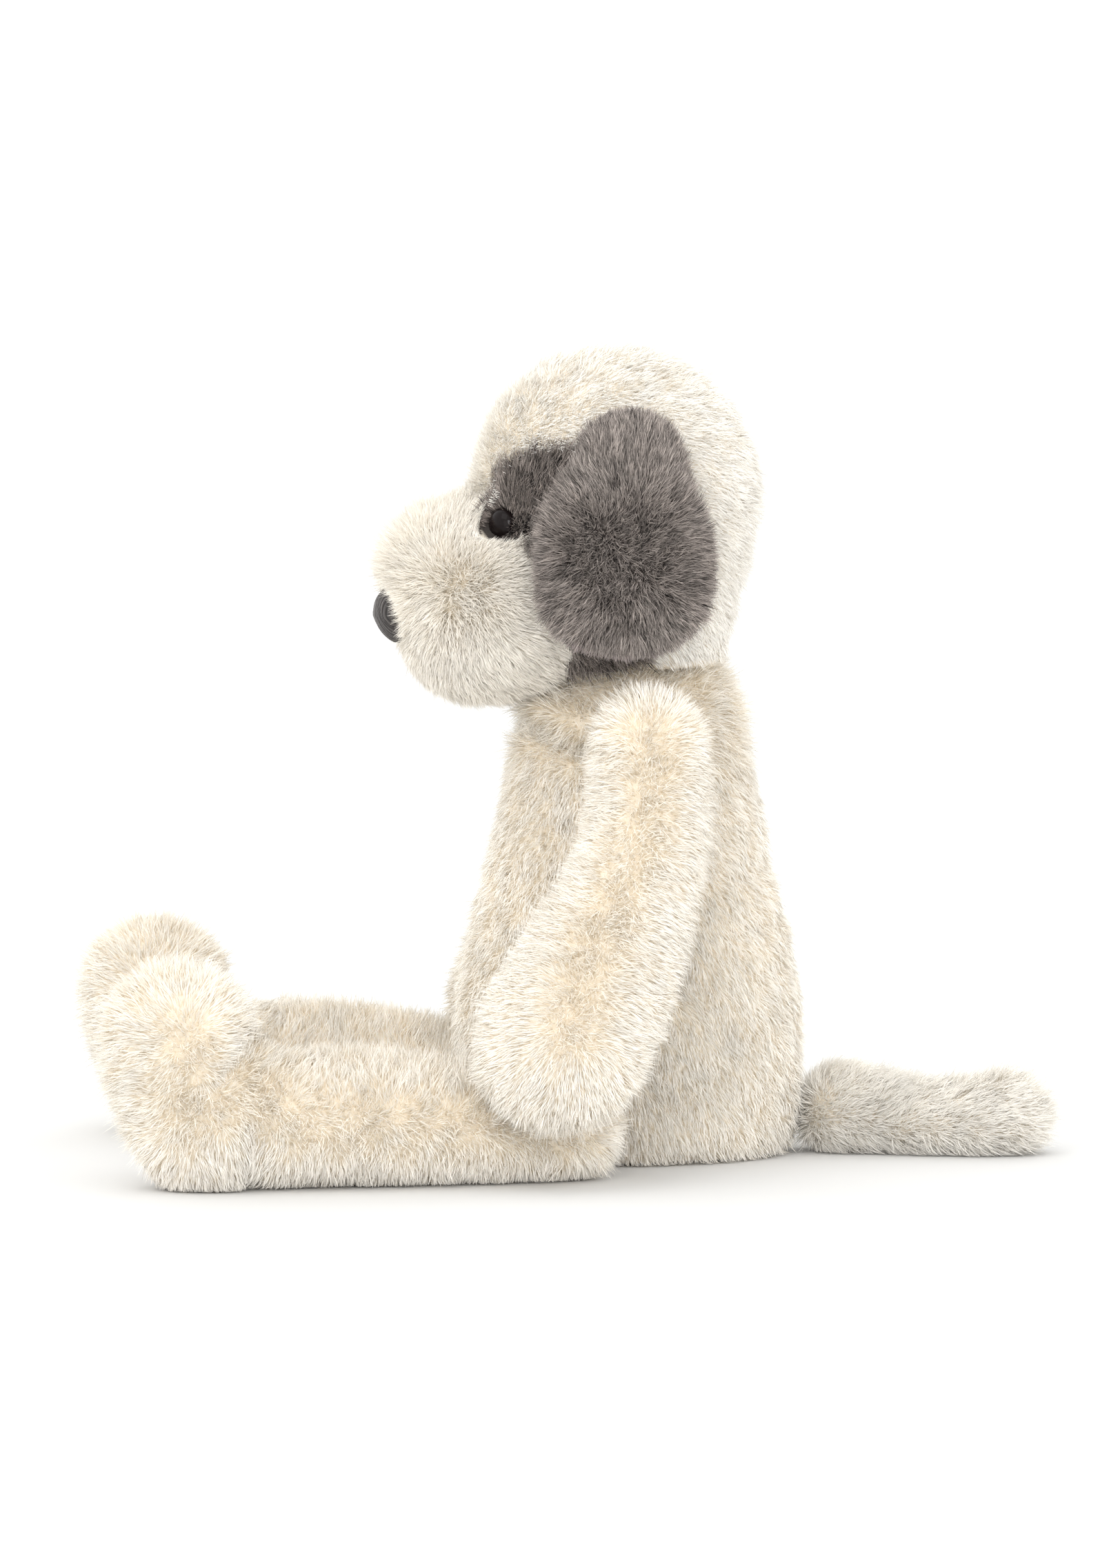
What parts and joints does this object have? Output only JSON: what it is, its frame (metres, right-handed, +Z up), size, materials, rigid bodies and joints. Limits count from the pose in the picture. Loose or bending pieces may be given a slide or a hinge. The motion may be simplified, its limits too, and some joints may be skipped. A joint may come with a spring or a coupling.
{
  "type": "plush puppy",
  "caption": "Seated floppy plush puppy with hanging ears, a patch round the eye, a bulging muzzle, long soft arms, toes-up feet and a tail.",
  "frame": {"origin": "on the floor under the middle of the seated toy's bounding box", "axes": "+Z up; the puppy faces -Y; its left side is +X"},
  "size_m": [0.2222, 0.337, 0.287],
  "materials": {
    "cream_plush": "long soft pile, cream tips over a tan base",
    "grey_plush": "long soft grey pile, paler at the tips",
    "taupe_plush": "soft pile, dark taupe",
    "ear_lining": "short grey pile",
    "nose_thread": "satin stitched thread",
    "eye_plastic": "high gloss",
    "washer_plastic": "matte",
    "fibre_filling": "loose polyester fibre",
    "pellet_bag": "plain woven bag"
  },
  "bodies": {
    "torso": {"torso_skin_left": "cream_plush", "torso_skin_right": "cream_plush", "seat_pellet_bag": "pellet_bag", "torso_stuffing": "fibre_filling"},
    "head": {"head_skin_left": "cream_plush", "head_skin_right": "cream_plush", "head_side_patch": "taupe_plush", "head_stuffing": "fibre_filling", "eye_left": "eye_plastic", "eye_washer_left": "washer_plastic", "eye_right": "eye_plastic", "eye_washer_right": "washer_plastic", "muzzle_skin_left": "cream_plush", "muzzle_skin_right": "cream_plush", "muzzle_stuffing": "fibre_filling", "nose": "nose_thread"},
    "ear_left": {"ear_outer_left": "grey_plush", "ear_lining_left": "ear_lining"},
    "ear_right": {"ear_outer_right": "grey_plush", "ear_lining_right": "ear_lining"},
    "arm_left": {"arm_outer_panel_left": "cream_plush", "arm_inner_panel_left": "cream_plush", "arm_stuffing_left": "fibre_filling", "paw_pellet_bag_left": "pellet_bag"},
    "arm_right": {"arm_outer_panel_right": "cream_plush", "arm_inner_panel_right": "cream_plush", "arm_stuffing_right": "fibre_filling", "paw_pellet_bag_right": "pellet_bag"},
    "leg_left": {"leg_outer_panel_left": "cream_plush", "leg_inner_panel_left": "cream_plush", "leg_stuffing_left": "fibre_filling", "foot_pellet_bag_left": "pellet_bag"},
    "leg_right": {"leg_outer_panel_right": "cream_plush", "leg_inner_panel_right": "cream_plush", "leg_stuffing_right": "fibre_filling", "foot_pellet_bag_right": "pellet_bag"},
    "tail": {"tail_panel_left": "cream_plush", "tail_panel_right": "cream_plush", "tail_stuffing": "fibre_filling"}
  },
  "joints": [
    {"name": "head_nod", "type": "hinge", "parent": "torso", "child": "head", "pos_m": [0, 0.02191, 0.15], "axis": [1, 0, 0], "range_deg": [-12, 12], "stiffness_Nm_per_rad": 1},
    {"name": "ear_left_flap", "type": "hinge", "parent": "head", "child": "ear_left", "pos_m": [0.0425, 0.01641, 0.266], "axis": [0, -1, 0], "range_deg": [0, 75]},
    {"name": "ear_right_flap", "type": "hinge", "parent": "head", "child": "ear_right", "pos_m": [-0.0425, 0.01641, 0.266], "axis": [0, 1, 0], "range_deg": [0, 75]},
    {"name": "arm_left_swing", "type": "hinge", "parent": "torso", "child": "arm_left", "pos_m": [0.056, 0.02141, 0.162], "axis": [-1, 0, 0], "range_deg": [-30, 40], "stiffness_Nm_per_rad": 0.3},
    {"name": "arm_right_swing", "type": "hinge", "parent": "torso", "child": "arm_right", "pos_m": [-0.056, 0.02141, 0.162], "axis": [-1, 0, 0], "range_deg": [-30, 40], "stiffness_Nm_per_rad": 0.3},
    {"name": "leg_left_lift", "type": "hinge", "parent": "torso", "child": "leg_left", "pos_m": [0.063, -0.00059, 0.018], "axis": [-0.9962, -0.0872, 0], "range_deg": [0, 14]},
    {"name": "leg_right_lift", "type": "hinge", "parent": "torso", "child": "leg_right", "pos_m": [-0.063, -0.00059, 0.018], "axis": [-0.9962, 0.0872, 0], "range_deg": [0, 14]},
    {"name": "tail_wag", "type": "hinge", "parent": "torso", "child": "tail", "pos_m": [0, 0.09341, 0.015], "axis": [0, 0, 1], "range_deg": [-35, 35]}
  ]
}
